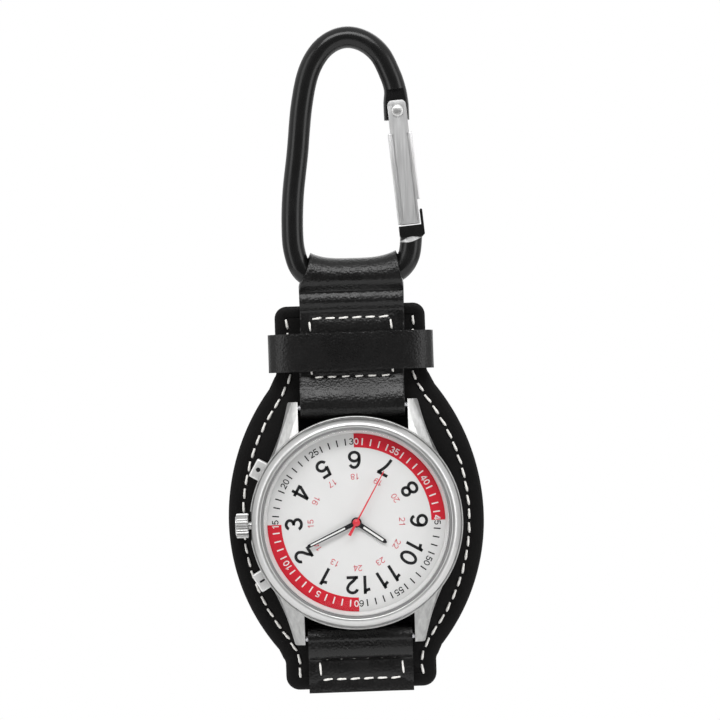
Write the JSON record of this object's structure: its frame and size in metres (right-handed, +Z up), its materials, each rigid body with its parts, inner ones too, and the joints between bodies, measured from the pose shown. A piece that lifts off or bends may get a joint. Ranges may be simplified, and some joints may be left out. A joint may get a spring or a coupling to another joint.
{
  "type": "fob watch",
  "caption": "Round analogue watch on a black leather pad, hung by a leather loop from a black snap hook with a spring gate.",
  "frame": {"origin": "inside top of the snap hook, where it hangs, in the middle of the hook's wire and on the watch's centre line", "axes": "+Z up along the watch's length from the watch to the hook, dial facing -Y, +X to the right seen from the front"},
  "size_m": [0.0466, 0.0137, 0.1211],
  "materials": {
    "black_metal": "semi-gloss black",
    "satin_steel": "satin",
    "polished_steel": "polished",
    "spring_steel": "plain",
    "pad_leather": "matt grained",
    "strap_leather": "smooth, slightly glossy",
    "glass": "clear, flat",
    "black_rubber": "matt",
    "dial_white": "matt white print ground",
    "rehaut_white": "satin white",
    "hand_black": "gloss black with a pale fill",
    "hand_red": "gloss red",
    "white_plastic": "moulded",
    "brass": "plain",
    "copper": "wound enamelled wire",
    "green_board": "lacquered"
  },
  "bodies": {
    "hook": {"carabiner_body": "black_metal", "gate_rivet": "satin_steel"},
    "gate": {"carabiner_gate": "satin_steel", "gate_plunger": "satin_steel", "gate_spring": "spring_steel"},
    "watch": {"pad_face": "pad_leather", "pad_lining": "pad_leather", "upper_strap": "strap_leather", "lower_strap": "strap_leather", "case_middle": "polished_steel", "bezel": "polished_steel", "crystal": "glass", "crystal_gasket": "black_rubber", "rehaut_ring": "rehaut_white", "case_back": "satin_steel", "case_back_gasket": "black_rubber", "crown_tube": "spring_steel", "crown_gasket": "black_rubber", "upper_bar_tube": "spring_steel", "lower_bar_tube": "spring_steel", "upper_bar_spring": "spring_steel", "lower_bar_spring": "spring_steel", "dial": "dial_white", "movement_ring": "white_plastic", "main_plate": "brass", "train_bridge": "brass", "battery_cell": "spring_steel", "battery_clamp": "spring_steel", "stepper_coil": "copper", "stator": "spring_steel", "circuit_board": "green_board", "quartz_can": "polished_steel"},
    "keeper": {"keeper_band": "strap_leather"},
    "pinion": {"sliding_pinion": "brass"},
    "crown": {"crown": "polished_steel", "crown_stem": "spring_steel"},
    "upper_pusher": {"upper_pusher": "polished_steel", "upper_pusher_clip": "spring_steel", "upper_pusher_spring": "spring_steel"},
    "lower_pusher": {"lower_pusher": "polished_steel", "lower_pusher_clip": "spring_steel", "lower_pusher_spring": "spring_steel"},
    "upper_left_tip": {"upper_bar_tip_left": "spring_steel"},
    "upper_right_tip": {"upper_bar_tip_right": "spring_steel"},
    "lower_left_tip": {"lower_bar_tip_left": "spring_steel"},
    "lower_right_tip": {"lower_bar_tip_right": "spring_steel"},
    "second": {"second_hand": "hand_red", "second_wheel": "brass"},
    "minute": {"minute_hand": "hand_black", "centre_wheel": "brass"},
    "hour": {"hour_hand": "hand_black", "hour_wheel": "brass"},
    "third": {"third_wheel": "brass"},
    "intermediate": {"intermediate_wheel": "brass"},
    "rotor": {"rotor": "spring_steel"},
    "minute_wheel": {"minute_wheel": "brass"}
  },
  "joints": [
    {"name": "gate_open", "type": "hinge", "parent": "hook", "child": "gate", "pos_m": [0.0099, 0, -0.0116], "axis": [0, 1, 0], "range_deg": [0, 35], "stiffness_Nm_per_rad": 0.02, "springref_deg": -17.19},
    {"name": "watch_swing", "type": "hinge", "parent": "hook", "child": "watch", "pos_m": [0, 0, -0.0415], "axis": [1, 0, 0], "range_deg": [-45, 45]},
    {"name": "keeper_slide", "type": "slide", "parent": "watch", "child": "keeper", "axis": [0, 0, 1], "range_m": [-0.0005, 0.004]},
    {"name": "crown_turn", "type": "hinge", "parent": "watch", "child": "pinion", "pos_m": [-0.012, -0.0024, -0.0861], "axis": [-1, 0, 0], "continuous": true},
    {"name": "crown_pull", "type": "slide", "parent": "pinion", "child": "crown", "axis": [-1, 0, 0], "range_m": [0, 0.0012]},
    {"name": "upper_press", "type": "slide", "parent": "watch", "child": "upper_pusher", "axis": [0.866, 0, -0.5], "range_m": [0, 0.0007], "stiffness_N_per_m": 300, "springref_m": -0.002},
    {"name": "lower_press", "type": "slide", "parent": "watch", "child": "lower_pusher", "axis": [0.866, 0, 0.5], "range_m": [0, 0.0007], "stiffness_N_per_m": 300, "springref_m": -0.002},
    {"name": "upper_left_tip_press", "type": "slide", "parent": "watch", "child": "upper_left_tip", "axis": [1, 0, 0], "range_m": [0, 0.0009], "stiffness_N_per_m": 400, "springref_m": -0.002},
    {"name": "upper_right_tip_press", "type": "slide", "parent": "watch", "child": "upper_right_tip", "axis": [-1, 0, 0], "range_m": [0, 0.0009], "stiffness_N_per_m": 400, "springref_m": -0.002},
    {"name": "lower_left_tip_press", "type": "slide", "parent": "watch", "child": "lower_left_tip", "axis": [1, 0, 0], "range_m": [0, 0.0009], "stiffness_N_per_m": 400, "springref_m": -0.002},
    {"name": "lower_right_tip_press", "type": "slide", "parent": "watch", "child": "lower_right_tip", "axis": [-1, 0, 0], "range_m": [0, 0.0009], "stiffness_N_per_m": 400, "springref_m": -0.002},
    {"name": "second_hand_turn", "type": "hinge", "parent": "watch", "child": "second", "pos_m": [0, 0, -0.0861], "axis": [0, 1, 0], "continuous": true},
    {"name": "minute_hand_turn", "type": "hinge", "parent": "watch", "child": "minute", "pos_m": [0, 0, -0.0861], "axis": [0, 1, 0], "continuous": true},
    {"name": "hour_hand_turn", "type": "hinge", "parent": "watch", "child": "hour", "pos_m": [0, 0, -0.0861], "axis": [0, 1, 0], "continuous": true},
    {"name": "third_wheel_turn", "type": "hinge", "parent": "watch", "child": "third", "pos_m": [-0.004, 0, -0.0809], "axis": [0, 1, 0], "continuous": true},
    {"name": "intermediate_wheel_turn", "type": "hinge", "parent": "watch", "child": "intermediate", "pos_m": [0.0039, 0, -0.0842], "axis": [0, 1, 0], "continuous": true},
    {"name": "rotor_turn", "type": "hinge", "parent": "watch", "child": "rotor", "pos_m": [0.0059, 0, -0.0828], "axis": [0, 1, 0], "continuous": true},
    {"name": "minute_wheel_turn", "type": "hinge", "parent": "watch", "child": "minute_wheel", "pos_m": [-0.0019, 0, -0.08995], "axis": [0, 1, 0], "continuous": true}
  ],
  "couplings": [
    {"joint": "minute_hand_turn", "follows": "second_hand_turn", "ratio": 0.016667},
    {"joint": "hour_hand_turn", "follows": "second_hand_turn", "ratio": 0.0013889},
    {"joint": "third_wheel_turn", "follows": "second_hand_turn", "ratio": -0.13333},
    {"joint": "minute_wheel_turn", "follows": "second_hand_turn", "ratio": -0.0055556},
    {"joint": "intermediate_wheel_turn", "follows": "second_hand_turn", "ratio": -6},
    {"joint": "rotor_turn", "follows": "second_hand_turn", "ratio": 30}
  ]
}
